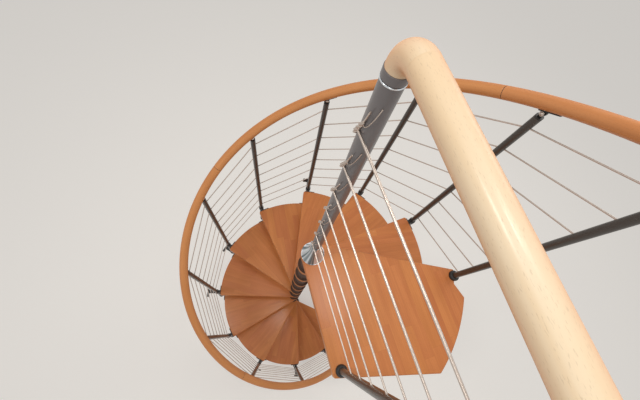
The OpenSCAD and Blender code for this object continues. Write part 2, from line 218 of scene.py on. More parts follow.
def lacquered_beech(name, light, dark, stave, block, rim=None):
    """Planed and lacquered beech. The eye sees a warm even tone, long soft figure, fine
    fibres, short dark flecks and the narrow seams of the glued blocks, each a little
    lighter or darker than the next, under a satin coat. A round rail has a sheen of the
    rim's tone at a slant: painted shade, which darkens its sides where the light falls
    off. The attribute grain holds the metres along the fibres, across them and up."""
    values = {"Coat Weight": 0.2, "Coat Roughness": 0.17, "Coat IOR": 1.5,
              "Specular IOR Level": 0.3}
    # painted shade: the rim's tone as a sheen darkens a rail's sides at a slant
    if rim:
        values.update({"Sheen Weight": 1, "Sheen Roughness": 0.7, "Sheen Tint": rgba(rim)})
    tree, shader = new_finish(name, values)
    grain = add_node(tree, "Attribute", output="Vector", attribute_name="grain")
    along, across = add_node(tree, "SeparateXYZ", {0: grain}).node.outputs[:2]
    # the number of the stave, and that of the block along it, set off from stave to stave
    staves = add_node(tree, "Math", {0: across, 1: stave}, operation="DIVIDE")
    number = add_node(tree, "Math", {0: staves}, operation="FLOOR")
    offset = add_node(tree, "TexWhiteNoise", {"W": number}, "Value", noise_dimensions="1D")
    blocks = add_node(tree, "Math", {0: along, 1: block}, operation="DIVIDE")
    blocks = add_node(tree, "Math", {0: blocks, 1: offset}, operation="ADD")
    place = add_node(tree, "Math", {0: blocks}, operation="FLOOR")
    place = add_node(tree, "CombineXYZ", {0: number, 1: place})
    chance, chances = add_node(tree, "TexWhiteNoise", {"Vector": place},
                               noise_dimensions="2D").node.outputs
    moved = add_node(tree, "VectorMath", {0: chances, 1: (3, 0.6, 0.4), 2: grain},
                     operation="MULTIPLY_ADD")
    # figure about 30 mm wide and 400 mm long, fibres about 1.2 mm wide, flecks about 6 by
    # 1 mm, which is twice their real size, and soft clouds about 120 mm across
    figure, fibres, flecks, clouds = (
        add_node(tree, "TexNoise", {"Scale": 1, "Detail": detail, "Vector": add_node(
            tree, "VectorMath", {0: moved, 1: scale}, operation="MULTIPLY")})
        for scale, detail in (((2.4, 34, 34), 3), ((16, 800, 800), 2),
                              ((160, 950, 950), 1), ((5, 11, 11), 2)))
    # growth lines about 9 mm apart, where the real ones are 3 mm apart, too fine to show
    lines = add_node(tree, "TexWave", {
        "Scale": 34, "Distortion": 7, "Detail": 2, "Detail Scale": 0.7,
        "Vector": add_node(tree, "VectorMath", {0: moved, 1: (0.09, 1, 0.6)},
                           operation="MULTIPLY")}, "Fac", bands_direction="Y")
    # seams within 0.9 mm of a block's sides and ends, where a count is near a whole number
    from_middle = []
    for count in (staves, blocks):
        part = add_node(tree, "Math", {0: count}, operation="FRACT")
        part = add_node(tree, "Math", {0: part, 1: 0.5}, operation="SUBTRACT")
        from_middle.append(add_node(tree, "Math", {0: part}, operation="ABSOLUTE"))
    figure, flecks, clouds, long_seams, end_seams = (
        add_node(tree, "MapRange", {0: value, 1: low, 2: high},
                 interpolation_type="SMOOTHSTEP")
        for value, low, high in ((figure, 0.3, 0.7), (flecks, 0.62, 0.72),
                                 (clouds, 0.35, 0.75),
                                 (from_middle[0], 0.5 - 0.0009 / stave, 0.5),
                                 (from_middle[1], 0.5 - 0.0009 / block, 0.5)))
    share, hue, value, rough = (
        add_node(tree, "Math", {0: source, 1: spread, 2: least}, operation="MULTIPLY_ADD")
        for source, spread, least in ((figure, 0.55, 0.35), (chance, 0.006, 0.497),
                                      (chance, 0.07, 0.965), (fibres, 0.16, 0.36)))
    base = add_node(tree, "Mix", {0: share, 6: rgba(dark), 7: rgba(light)}, 2,
                    data_type="RGBA")
    for layer, strength, tone in ((clouds, 0.45, 1), (lines, 0.2, 1), (fibres, 0.2, 1),
                                  (flecks, 0.27, 0.5), (long_seams, 0.2, 0.4),
                                  (end_seams, 0.2, 0.4)):
        share = add_node(tree, "Math", {0: layer, 1: strength}, operation="MULTIPLY")
        base = add_node(tree, "Mix", {0: share, 6: base, 7: rgba(dark, tone)}, 2,
                        data_type="RGBA")
    raised = add_node(tree, "Math", {0: fibres, 1: 0.6}, operation="MULTIPLY")
    height = add_node(tree, "Math", {0: raised, 1: flecks}, operation="SUBTRACT")
    feed(shader, {
        "Base Color": add_node(tree, "HueSaturation",
                               {"Hue": hue, "Value": value, "Color": base}),
        "Roughness": rough,
        "Normal": add_node(tree, "Bump", {"Height": height, "Strength": 0.12,
                                          "Distance": 0.0004})})


def two_toned(tree, shader, share, colours, height=None, strength=0.0, depth=0.0):
    """Feeds a shader with a colour that runs from the first to the second by the share,
    and with a height that raises the surface by up to the depth in metres."""
    feed(shader, {"Base Color": add_node(tree, "Mix", {0: share, 6: colours[0],
                                                       7: colours[1]}, 2,
                                         data_type="RGBA")})
    if height:
        feed(shader, {"Normal": add_node(tree, "Bump", {
            "Height": height, "Strength": strength, "Distance": depth})})


def painted_steel(name, colour, roughness, coat):
    """Powder-coated steel tube: an even tone with the coat's fine orange-peel waves, about
    3 mm long, which break up the highlights a little."""
    tree, shader = new_finish(name, {"Roughness": roughness, "Coat Weight": coat,
                                     "Coat Roughness": 0.2})
    place = add_node(tree, "TexCoord", output="Object")
    cloud, peel = (add_node(tree, "TexNoise", {"Vector": place, "Scale": scale,
                                               "Detail": detail})
                   for scale, detail in ((14, 4), (330, 1)))
    two_toned(tree, shader, cloud, (rgba(colour, 0.86), rgba(colour, 1.14)), peel, 0.06,
              0.0002)


def polished_metal(name, colour, low, high, spin):
    """Plated or polished steel: mirror-like, with fine marks from polishing that spread the
    reflections. Spin is how many marks a metre stand one over the other."""
    tree, shader = new_finish(name, {"Metallic": 1})
    place = add_node(tree, "TexCoord", output="Object")
    place = add_node(tree, "VectorMath", {0: place, 1: (0.05 * spin, 0.05 * spin, spin)},
                     operation="MULTIPLY")
    marks = add_node(tree, "TexNoise", {"Vector": place, "Scale": 1, "Detail": 3})
    two_toned(tree, shader, marks, (rgba(colour, 0.88), rgba(colour)))
    feed(shader, {"Roughness": add_node(tree, "MapRange", {0: marks, 1: 0.3, 2: 0.7,
                                                           3: low, 4: high})})


def drawn_chrome(name, colour, shade):
    """The skirt's bright plate, with painted reflections: streaks down the flare, light and
    blue-grey by turns, which meet at the top, about 9 to a turn. They stand about 9 to a
    turn, coarser than the real ones, which are too fine to show. They stand in for the
    light and dark surroundings that the plate reflects."""
    tree, shader = new_finish(name, {"Metallic": 0.66})
    place = add_node(tree, "TexCoord", output="Object")
    around = add_node(tree, "VectorMath", {0: place, 1: (1, 1, 0)}, operation="MULTIPLY")
    around = add_node(tree, "VectorMath", {0: around}, operation="NORMALIZE")
    streaks = add_node(tree, "TexNoise", {"Vector": around, "Scale": 2.6, "Detail": 3})
    lift = add_node(tree, "MapRange", {0: streaks, 1: 0.36, 2: 0.6},
                    interpolation_type="SMOOTHSTEP")
    # painted reflection: the plate's colour turns blue-grey in the streaks
    two_toned(tree, shader, lift, (rgba(shade), rgba(colour)))
    feed(shader, {"Roughness": add_node(tree, "MapRange", {0: streaks, 1: 0.3, 2: 0.7,
                                                           3: 0.4, 4: 0.26})})


def wire_rope(name, colour):
    """Stainless wire rope: six bright strands laid round a core, once in 34 mm, with
    painted shade in the grooves between them, whose colour is a little darker. The UV map
    holds the metres along the rope and the share of a turn round it."""
    strands, lay = 6, 0.034
    tree, shader = new_finish(name, {"Metallic": 1, "Roughness": 0.36})
    uv = add_node(tree, "UVMap", uv_map="UVMap")
    phase = add_node(tree, "VectorMath", {0: uv, 1: (2 * math.pi / lay,
                                                     2 * math.pi * strands, 0)},
                     "Value", operation="DOT_PRODUCT")
    wave = add_node(tree, "Math", {0: phase}, operation="SINE")
    lift = add_node(tree, "MapRange", {0: wave, 1: -1, 2: 0.6},
                    interpolation_type="SMOOTHSTEP")
    # painted shade: the colour is darker in the grooves
    two_toned(tree, shader, lift, (rgba(colour, 0.92), rgba(colour)), lift, 0.07, 0.0004)


def moulded_nylon(name, colour):
    """Injection-moulded black nylon: a dull sheen over a fine spark-eroded grain of about
    0.8 mm, drawn twice its real size."""
    tree, shader = new_finish(name, {"Roughness": 0.42})
    grit = add_node(tree, "TexNoise", {"Vector": add_node(tree, "TexCoord",
                                                          output="Object"),
                                       "Scale": 1200, "Detail": 2})
    two_toned(tree, shader, grit, (rgba(colour, 0.7), rgba(colour, 1.5)), grit, 0.3,
              0.0002)


def finish(name):
    """The named finish, made once from the scene's colours. Beech takes the width and
    length of its glued blocks in metres; a bent or turned rail is of one piece, so its
    blocks are longer than it is."""
    c = bpy.context.scene.stair_colours
    recipes = {
        "lacquered_beech": (lacquered_beech, c.beech, c.beech_dark, 0.046, 0.38),
        # the rim tones are painted shade on the rails' sides
        "bent_beech": (lacquered_beech, c.rail_beech, c.rail_dark, 9, 90, c.rail_edge_shade),
        # painted light: the landing's rail takes a paler, lit copy of the beech
        "pale_beech": (lacquered_beech, c.pale_beech, c.painted_lit_figure, 9, 90, c.lit_rail_edge_shade),
        "grey_powder_coat": (painted_steel, c.grey_paint, 0.36, 0.25),
        "dark_powder_coat": (painted_steel, c.dark_paint, 0.34, 0.25),
        # painted reflection: warm brown paint on the spacers
        "matt_powder_coat": (painted_steel, c.spacer_paint_with_painted_bounce, 0.75, 0),
        # painted reflection: streaks of blue-grey in the skirt's plate
        "drawn_chrome": (drawn_chrome, c.chrome, c.chrome_painted_reflection),
        "chrome_plate": (polished_metal, c.chrome, 0.1, 0.24, 900),
        "zinc_plate": (polished_metal, c.steel, 0.18, 0.34, 2500),
        "wire_rope": (wire_rope, c.steel),
        "moulded_nylon": (moulded_nylon, c.nylon),
    }
    if name not in bpy.data.materials:
        maker, *values = recipes[name]
        maker(name, *values)
    return bpy.data.materials[name]


# Shapes

# Points nearer to each other than this many metres are one
SAME_PLACE = 2e-6


def unit(vectors):
    """Vectors divided by their lengths."""
    return vectors / np.linalg.norm(vectors, axis=-1, keepdims=True)


def turned(points, angle):
    """Points turned about Z: (x cos a - y sin a, x sin a + y cos a, z)."""
    c, s = math.cos(angle), math.sin(angle)
    return points @ np.array([[c, s, 0], [-s, c, 0], [0, 0, 1]])


def polar(radius, angle, height=0.0):
    """Points round the pole: (r cos a, r sin a, height)."""
    radius, angle, height = np.broadcast_arrays(radius, angle, height)
    return np.stack([radius * np.cos(angle), radius * np.sin(angle), height], -1)


def put_piece(mesh, finishes, replaces, sharp):
    """Puts a mesh in the scene as a smooth piece with the given finishes, whose edges are
    sharp where its faces meet at more than the given degrees."""
    for name in finishes:
        mesh.materials.append(finish(name))
    mesh.polygons.foreach_set("use_smooth", np.ones(len(mesh.polygons), bool))
    mesh.set_sharp_from_angle(angle=math.radians(sharp))
    piece = bpy.data.objects.new(mesh.name, mesh)
    bpy.context.scene.collection.objects.link(piece)
    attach(piece, "root")
    if replaces:
        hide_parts(*replaces)
    return piece


def make_piece(name, patches, finishes, replaces=(), sharp=40):
    """A mesh from grids of points. A patch holds points (copies, rows, columns, 3), and may
    hold uv (2) and grain (3) for each point and the number of its finish. Each cell of a
    grid is a quad; equal points are then merged, which closes seams and poles."""
    points, uvs, grains, quads, numbers, start = [], [], [], [], [], 0
    for patch in patches:
        grid = np.asarray(patch["points"], float)
        grid = grid.reshape(-1, *grid.shape[-3:])
        copies, rows, columns = grid.shape[:3]
        i, j = np.meshgrid(np.arange(rows - 1), np.arange(columns - 1), indexing="ij")
        at = (i * columns + j).ravel()
        cells = np.stack([at, at + columns, at + columns + 1, at + 1], -1)
        cells = (cells[None] + np.arange(copies)[:, None, None] * rows * columns)
        cells = cells.reshape(-1, 4) + start
        points.append(grid.reshape(-1, 3))
        for key, store, size in (("uv", uvs, 2), ("grain", grains, 3)):
            values = patch.get(key, np.zeros(size))
            store.append(np.broadcast_to(values, (*grid.shape[:3], size)).reshape(-1, size))
        quads.append(cells)
        numbers.append(np.full(len(cells), patch.get("finish", 0)))
        start += copies * rows * columns
    points, quads = np.concatenate(points), np.concatenate(quads)
    mesh = bpy.data.meshes.new(name)
    mesh.vertices.add(len(points))
    mesh.vertices.foreach_set("co", points.ravel())
    mesh.loops.add(quads.size)
    mesh.loops.foreach_set("vertex_index", quads.ravel())
    mesh.polygons.add(len(quads))
    mesh.polygons.foreach_set("loop_start", np.arange(0, quads.size, 4))
    mesh.polygons.foreach_set("material_index", np.concatenate(numbers))
    mesh.update(calc_edges=True)
    mesh.uv_layers.new(name="UVMap").data.foreach_set(
        "uv", np.concatenate(uvs)[quads.ravel()].ravel())
    grain = mesh.attributes.new("grain", "FLOAT_VECTOR", "POINT")
    grain.data.foreach_set("vector", np.concatenate(grains).ravel())
    build = bmesh.new()
    build.from_mesh(mesh)
    bmesh.ops.remove_doubles(build, verts=build.verts, dist=SAME_PLACE)
    bmesh.ops.dissolve_degenerate(build, edges=build.edges, dist=1e-7)
    bmesh.ops.recalc_face_normals(build, faces=build.faces)
    build.to_mesh(mesh)
    build.free()
    put_piece(mesh, finishes, replaces, sharp)


def circle(sides):
    """Unit vectors round a circle, with the last on the first: (cos a, sin a)."""
    a = np.linspace(0, 2 * math.pi, sides + 1)
    return np.stack([np.cos(a), np.sin(a)], -1)


def places(origins, axes, hint=(0.0, 0.0, 1.0)):
    """Frames at origins whose third axis is the given one: X is hint x Z, Y is Z x X."""
    z = unit(np.atleast_2d(np.asarray(axes, float)))
    origins = np.broadcast_to(np.atleast_2d(np.asarray(origins, float)), z.shape)
    hints = np.broadcast_to(np.asarray(hint, float), z.shape)
    flat = np.linalg.norm(np.cross(hints, z), axis=-1, keepdims=True) < 1e-4
    x = unit(np.where(flat, np.cross((1.0, 0.0, 0.0), z), np.cross(hints, z)))
    return origins, np.stack([x, np.cross(z, x), z], 1)


def revolved(profile, at, sides, lobes=None):
    """A profile of (radius, height) turned round each frame's third axis: radius cos a
    along X, radius sin a along Y, height along Z. Lobes may scale the radius by row and
    column."""
    origins, axes = at
    profile = np.asarray(profile, float)
    radius = profile[:, 0, None] * (1 if lobes is None else lobes)
    radius = np.broadcast_to(radius, (len(profile), sides + 1))
    local = np.concatenate([radius[..., None] * circle(sides)[None],
                            np.broadcast_to(profile[:, 1, None, None], (*radius.shape, 1))],
                           -1)
    return origins[:, None, None] + np.einsum("rcj,kji->krci", local, axes)


def eased(corners, ease, steps=4):
    """A profile with its corners cut by arcs: corner i is replaced by the points
    P + e ((1 - sin t) a + (1 - cos t) b), where a and b point to its neighbours and e is
    its ease, no more than a third of the way to them."""
    corners = np.asarray(corners, float)
    ease = np.broadcast_to(ease, len(corners) - 2)
    back, on = corners[:-2] - corners[1:-1], corners[2:] - corners[1:-1]
    reach = np.minimum(np.linalg.norm(back, axis=1), np.linalg.norm(on, axis=1)) / 3
    e = np.minimum(ease, reach)[:, None, None]
    t = np.linspace(0, math.pi / 2, steps + 1)[None, :, None]
    arcs = corners[1:-1, None] + e * ((1 - np.sin(t)) * unit(back)[:, None]
                                      + (1 - np.cos(t)) * unit(on)[:, None])
    return np.concatenate([corners[:1], arcs.reshape(-1, 2), corners[-1:]])


def swept(path, side, rise, radius, sides, section=None):
    """A section carried along a path: path(i) + radius(i) (x(j) side(i) + y(j) rise(i)).
    The UV is the length along the path and the share of a turn, and the grain is the
    length, x and y."""
    section = circle(sides) if section is None else section
    radius = np.broadcast_to(radius, path.shape[:-1])[..., None, None]
    flat = radius * section
    points = (path[..., None, :] + flat[..., :1] * side[..., None, :]
              + flat[..., 1:] * rise[..., None, :])
    steps = np.linalg.norm(np.diff(path, axis=-2), axis=-1)
    length = np.concatenate([np.zeros((*steps.shape[:-1], 1)),
                             np.cumsum(steps, -1)], -1)[..., None, None]
    length = np.broadcast_to(length, (*flat.shape[:-1], 1))
    share = np.broadcast_to(np.linspace(0, 1, flat.shape[-2])[:, None], length.shape)
    return {"points": points, "uv": np.concatenate([length, share], -1),
            "grain": np.concatenate([length, flat], -1)}


def rounded_ends(start, end, radius, ease, rings=2, steps=4):
    """Distances along a bar and its radii there, closed at both ends: a flat end, then a
    quarter circle of the ease, then the straight stretch."""
    t = np.linspace(0, math.pi / 2, steps + 1)
    near = np.stack([start + ease * (1 - np.cos(t)), radius - ease * (1 - np.sin(t))], -1)
    far = np.stack([end - ease * (1 - np.cos(t)), radius - ease * (1 - np.sin(t))], -1)
    along = np.linspace(start + 1.2 * ease, end - 1.2 * ease, rings)
    middle = np.stack([along, np.full(rings, radius)], -1)
    return np.concatenate([[[start, 0]], near, middle, far[::-1], [[end, 0]]])


def rods(starts, ends, radius, sides, ease=0.0006, rings=2):
    """Straight bars with eased ends, one for each start and end."""
    starts, ends = np.atleast_2d(starts), np.atleast_2d(ends)
    along = unit(ends - starts)
    _, axes = places(starts, along)
    lengths = np.linalg.norm(ends - starts, axis=1)
    bar = rounded_ends(0, lengths.max(), radius, ease, rings)
    nearer = bar[:, 0] < lengths.max() / 2
    reach = np.where(nearer, bar[:, 0], bar[:, 0] - lengths.max())
    distance = np.where(nearer[None], reach[None], lengths[:, None] + reach[None])
    path = starts[:, None] + distance[..., None] * along[:, None]
    frames = np.broadcast_to(axes[:, None], (*path.shape[:2], 3, 3))
    return swept(path, frames[..., 0, :], frames[..., 1, :], bar[:, 1], sides)


def carried(path, toward, radius, sides, twist=None):
    """A round wire along a curved path, with flat ends: the section's side is the given
    vector less its part along the path. A twist of (strands, pitch) scales the radius by
    1 + 0.2 cos(strands a - 2 pi length / pitch), which makes twisted strands."""
    tangent = unit(np.gradient(path, axis=-2))
    toward = np.broadcast_to(toward, path.shape)
    side = unit(toward - (toward * tangent).sum(-1, keepdims=True) * tangent)
    rise = np.cross(tangent, side)
    path, side, rise = (np.concatenate([v[..., :1, :], v, v[..., -1:, :]], -2)
                        for v in (path, side, rise))
    radius = np.broadcast_to(radius, path.shape[-2] - 2)
    radius = np.concatenate([[0], radius, [0]])
    wire = swept(path, side, rise, radius, sides)
    if twist:
        strands, pitch = twist
        a = np.linspace(0, 2 * math.pi, sides + 1)
        phase = strands * a - 2 * math.pi * wire["uv"][..., 0] / pitch
        wire["points"] = path[..., None, :] + (wire["points"] - path[..., None, :]) * (
            1 + 0.2 * np.cos(phase))[..., None]
    return wire


def smooth(x):
    """0 below 0, 1 above 1, and 3 x^2 - 2 x^3 between."""
    x = np.clip(x, 0, 1)
    return x * x * (3 - 2 * x)


# Boards

def rounded_outline(points, radii, steps=6):
    """A closed anticlockwise outline with its corners rounded, and its outward normals.
    At a corner with radius r the tangent length is r tan(turn / 2), and the arc's points
    are centre + r n, with n turning from one edge's normal to the next one's."""
    before = unit(points - np.roll(points, 1, 0))
    after = unit(np.roll(points, -1, 0) - points)
    turn = np.arctan2(before[:, 0] * after[:, 1] - before[:, 1] * after[:, 0],
                      (before * after).sum(1))
    normal = np.stack([before[:, 1], -before[:, 0]], -1)
    start = points - before * (radii * np.tan(turn / 2))[:, None]
    centre = start - normal * radii[:, None]
    angle = turn[:, None] * np.linspace(0, 1, steps + 1)
    c, s = np.cos(angle), np.sin(angle)
    normals = np.stack([c * normal[:, :1] - s * normal[:, 1:],
                        s * normal[:, :1] + c * normal[:, 1:]], -1)
    outline = centre[:, None] + radii[:, None, None] * normals
    plain = radii == 0
    normals[plain, 0] = normals[plain, steps // 2]
    outline[plain, 0] = points[plain]
    keep = np.ones(angle.shape, bool)
    keep[plain, 1:] = False
    return outline[keep], normals[keep]


def joined_outline(stretches, corners):
    """Stretches of points as one rounded outline. The corner where a stretch ends has the
    radius given for it, or none."""
    points = np.concatenate(stretches)[:, :2]
    radii = np.zeros(len(points))
    radii[np.cumsum([len(each) for each in stretches])[:len(corners)]] = corners
    return rounded_outline(points, radii)


def board(size, outline, normals, top, direction, shift):
    """A board round the pole. Rows run from the bore over the top face to the outline, down
    the rounded edge, and back under the bottom face. On the edge a point lies at
    outline - e (1 - sin t) n and top - e (1 - cos t), where e grows from 1.2 mm at the hub
    to the full radius 50 mm further out. One row more on each face keeps it flat."""
    least, beyond = 0.0012, 1.14
    reach = np.linalg.norm(outline, axis=1) - size.hub - 0.002
    edge = least + (size.edge - least) * smooth(reach / 0.05)
    t = np.linspace(0, math.pi / 2, 7)
    inset = np.concatenate([[beyond], 1 - np.sin(t), [0]])[:, None] * edge
    drop = np.concatenate([[0], 1 - np.cos(t), [beyond]])[:, None] * edge
    rim = outline[None] - inset[..., None] * normals[None]
    upper = np.concatenate([rim, (top - drop)[..., None]], -1)
    lower = upper[::-1].copy()
    lower[..., 2] = 2 * top - size.board - lower[..., 2]
    ring = np.concatenate([size.bore * unit(outline), np.full((len(outline), 1), top)], -1)
    rows = np.concatenate([[ring, 0.5 * (ring + upper[0])], upper, lower,
                           [ring - (0, 0, size.board), ring]])
    rows = np.concatenate([rows, rows[:, :1]], 1)
    return {"points": rows, "grain": turned(rows, -direction) + np.asarray(shift)}


def line_points(a, b, count):
    """Points from a to b, without b."""
    t = np.arange(count)[:, None] / count
    return a * (1 - t) + b * t


def arc_points(radius, start, end, count):
    """Points on a circle round the pole, without the last."""
    return polar(radius, start + (end - start) * np.arange(count) / count)


def lean(size, radius):
    """The angle, seen from the pole, between a step's edge at a radius and the line beside
    it through the pole: asin(flank / radius)."""
    return math.asin(size.flank / radius)


def nosing(size):
    """The direction of a step's nosing, which ends at the lead, and that of its inner end
    on the hub."""
    direction = size.lead - lean(size, size.tread_radius)
    return direction, direction + lean(size, size.hub)


def tread_board(size, number):
    """A tread's grid. Its level and turn are those of its number of risers down."""
    outer, hub, turn = size.tread_radius, size.hub, number * size.turn
    front, front_eye = turn + size.lead, turn + nosing(size)[1]
    back, back_eye = 2 * turn - size.turn - front, 2 * turn - size.turn - front_eye
    shape = joined_outline([
        line_points(polar(hub, back_eye), polar(outer, back), 14),
        arc_points(outer, back, front, 36),
        line_points(polar(outer, front), polar(hub, front_eye), 14),
        arc_points(hub, front_eye, back_eye + 2 * math.pi, 24)], [size.corner] * 2)
    return board(size, *shape, LANDING_TOP - number * RISER, turn - size.turn / 2,
                 (1.7 * number, 0.31 * number, 0.13 * number))


def landing_corners(size):
    """The ends of the landing's straight edge: on the arc, and by the post."""
    return polar((size.landing_radius, size.corner_distance),
                 (size.arc_end, size.corner_turn))


def landing_board(size):
    """The landing's grid: the edge from the pole to the corner post, the straight edge, a
    wide arc, two short edges round the first baluster and a nosing. Its fibres run at 66
    degrees clockwise from the first baluster."""
    hub, side, small_corner, fibres = size.hub, size.ring + 0.004, 0.006, -66
    direction, front_eye = nosing(size)
    post_eye = size.corner_turn + lean(size, size.corner_distance) - lean(size, hub)
    arc_corner, post_corner = landing_corners(size)
    side_corner = polar(side, size.landing_side)
    front_corner = polar(side, direction + lean(size, side))
    shape = joined_outline([
        line_points(polar(hub, post_eye), post_corner, 12),
        line_points(post_corner, arc_corner, 14),
        arc_points(size.landing_radius, size.arc_end, size.arc_start, 30),
        line_points(polar(size.landing_radius, size.arc_start), side_corner, 3),
        line_points(side_corner, front_corner, 3),
        line_points(front_corner, polar(hub, front_eye), 16),
        arc_points(hub, front_eye, post_eye + 2 * math.pi, 24)],
        [size.corner] * 2 + [small_corner] * 3)
    return board(size, *shape, LANDING_TOP, math.radians(fibres), (0.4, 0.011, 0.1))


class STAIR_OT_treads(bpy.types.Operator):
    """Makes the eleven treads as boards with rounded edges."""

    bl_idname = "stair.treads"
    bl_label = "Treads"

    def execute(self, context):
        for number in range(1, TREADS + 1):
            node = f"tread_{TREADS + 1 - number:02d}"
            make_piece(f"{node}_board", [tread_board(context.scene.stair_sizes, number)],
                       ["lacquered_beech"], [node])
        return {"FINISHED"}


class STAIR_OT_landing(bpy.types.Operator):
    """Makes the landing's board."""

    bl_idname = "stair.landing"
    bl_label = "Landing"

    def execute(self, context):
        make_piece("landing_board", [landing_board(context.scene.stair_sizes)],
                   ["lacquered_beech"], ["landing"])
        return {"FINISHED"}


# Column and tubes

class STAIR_OT_column(bpy.types.Operator):
    """Makes the flanged spacers: a long one on the base, and one under each step."""

    bl_idname = "stair.column"
    bl_label = "Column"

    def execute(self, context):
        size = context.scene.stair_sizes
        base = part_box("hub_spacers")[0].z
        levels = LANDING_TOP - RISER * np.arange(1.0, TREADS + 1)
        patches = []
        for height, feet in ((levels[-1] - size.board - base, [base]),
                             (RISER - size.board, levels)):
            low, high, weld, arris = size.flange, height - size.flange, 0.003, 0.0012
            profile = eased([(size.bore, 0), (size.hub, 0), (size.hub, low),
                             (size.spacer, low), (size.spacer, high), (size.hub, high),
                             (size.hub, height), (size.bore, height)],
                            [arris, arris, weld, weld, arris, arris])
            profile = np.concatenate([profile, profile[:1]])
            at = places([(0, 0, z) for z in feet], [(0, 0, 1)] * len(feet))
            patches.append({"points": revolved(profile, at, 64)})
        # painted reflection: the spacers' paint is warm brown for the beech's reflected
        # light
        make_piece("spacer_tubes", patches, ["matt_powder_coat"],
                   ["hub_spacers"])
        return {"FINISHED"}


def baluster_feet(size):
    """Feet of the balusters on the ring, at the turn and level of each step."""
    steps = np.arange(TREADS + 1.0)
    return polar(size.ring, steps * size.turn, LANDING_TOP - steps * RISER)


def corner_foot(size):
    """The corner post's foot on the landing."""
    return polar(size.post_distance, size.post_turn, LANDING_TOP)


def landing_rail_height(size):
    """Height of the landing's rail: the newel post, the collar and the elbow's bend."""
    return size.newel_height + size.collar + size.elbow


class STAIR_OT_balusters(bpy.types.Operator):
    """Makes the baluster tubes, each held by two steps, and the corner post."""

    bl_idname = "stair.balusters"
    bl_label = "Balusters"

    def execute(self, context):
        size = context.scene.stair_sizes
        feet, foot = baluster_feet(size), corner_foot(size)
        bottom = feet - (0, 0, RISER + size.board + size.tube_end)
        bottom[-1, 2] = 0
        top = feet + (0, 0, size.rail_height - size.tube_drop)
        post_top = foot + (0, 0, landing_rail_height(size) - size.tube_drop)
        for name, start, end, node in (("baluster_tubes", bottom, top, "balusters"),
                                       ("corner_tube", foot, post_top, "corner_post")):
            make_piece(name, [rods(start, end, size.tube, 40, 0.0008)],
                       ["dark_powder_coat"], [node])
        return {"FINISHED"}


# Rails

# The ends of the outer rail's lengths, in steps down from the landing
RAIL_JOINTS = (-0.15, 1.35, 4.6, 7.85, 11.12)


def helix(size, steps):
    """The outer rail's line and frame: (r cos a, r sin a, z) with z falling one riser a
    step; side points outwards, and rise is square to it and to the falling tangent."""
    a = steps * size.turn
    slope = math.atan(RISER / (size.ring * size.turn))
    path = polar(size.ring, a, LANDING_TOP - steps * RISER + size.rail_height)
    rise = polar(math.sin(slope), a + math.pi / 2, math.cos(slope))
    return path, polar(1, a), rise


class STAIR_OT_outer_rail(bpy.types.Operator):
    """Makes the four bent lengths of the outer handrail and the discs between them."""

    bl_idname = "stair.outer_rail"
    bl_label = "Outer handrail"

    def execute(self, context):
        size = context.scene.stair_sizes
        gap, disc, sides = 0.0007, 0.0009, 44
        step = math.hypot(size.ring * size.turn, RISER)
        lengths = len(RAIL_JOINTS) - 1
        for number in range(lengths):
            start, end = RAIL_JOINTS[number:number + 2]
            shape = rounded_ends(start * step + gap, end * step - gap, size.rail, 2 * gap,
                                 int(30 * (end - start)))
            patch = swept(*helix(size, shape[:, 0] / step), shape[:, 1], sides)
            patch["grain"] = patch["grain"] + (0.9 * number, 0.4 * number, 0.2 * number)
            node = f"handrail_{lengths - number}"
            make_piece(f"{node}_bar", [patch], ["bent_beech"], [node])
        path, side, rise = helix(size, np.array(RAIL_JOINTS[1:-1]))
        half = disc * np.cross(side, rise)
        make_piece("rail_joints", [rods(path - half, path + half, size.rail - 0.0008, sides,
                                        0.0002)], ["moulded_nylon"])
        return {"FINISHED"}


class STAIR_OT_landing_rail(bpy.types.Operator):
    """Makes the elbow on the newel post and the straight rail. The elbow's line is
    (b - b cos t, 0, z + b sin t), and it widens from the post's radius to the rail's."""

    bl_idname = "stair.landing_rail"
    bl_label = "Landing rail"

    def execute(self, context):
        size = context.scene.stair_sizes
        base = LANDING_TOP + size.newel_height + size.collar
        bend, thin, thick, sides = size.elbow, size.newel, size.rail, 44
        joint_ease, end_ease = 0.0002, 0.008
        t = np.linspace(0, math.pi / 2, 25)
        path = np.stack([bend - bend * np.cos(t), 0 * t, base + bend * np.sin(t)], -1)
        side = np.stack([np.cos(t), 0 * t, -np.sin(t)], -1)
        radius = thin + (thick - thin) * smooth(t / (math.pi / 2))
        path = np.concatenate([[(0, 0, base), (0, 0, base), (0, 0, base + 0.0004)],
                               path[1:], path[-1:], path[-1:]])
        side = np.concatenate([side[:1]] * 3 + [side[1:], side[-1:], side[-1:]])
        radius = np.concatenate([[0, thin - 0.0012, thin], radius[1:], [thick, 0]])
        across = np.broadcast_to((0.0, 1.0, 0.0), side.shape)
        elbow = swept(path, side, across, radius, sides)
        length = size.post_distance + size.rail_end
        near = rounded_ends(bend, length, thick, joint_ease, 24)
        far = rounded_ends(bend, length, thick, end_ease, 24)
        shape = np.concatenate([near[:len(near) // 2], far[len(far) // 2:]])
        height = np.full(len(shape), LANDING_TOP + landing_rail_height(size))
        path = np.stack([shape[:, 0], 0 * height, height], -1)
        side = np.broadcast_to((0.0, 0.0, -1.0), path.shape)
        across = np.broadcast_to((0.0, 1.0, 0.0), path.shape)
        rail = swept(path, side, across, shape[:, 1], sides)
        for name, bar, shift, node in (
                ("elbow_bar", elbow, (5.3, 0.2, 0.7), "rail_elbow"),
                ("landing_bar", rail, (7.1, 0.5, 0.3), "landing_handrail")):
            bar["points"] = turned(bar["points"], size.post_turn)
            bar["grain"] = bar["grain"] + shift
            # painted light: the elbow and the rail take the paler, lit copy of the beech
            make_piece(name, [bar], ["pale_beech"], [node])
        return {"FINISHED"}


# Newel post

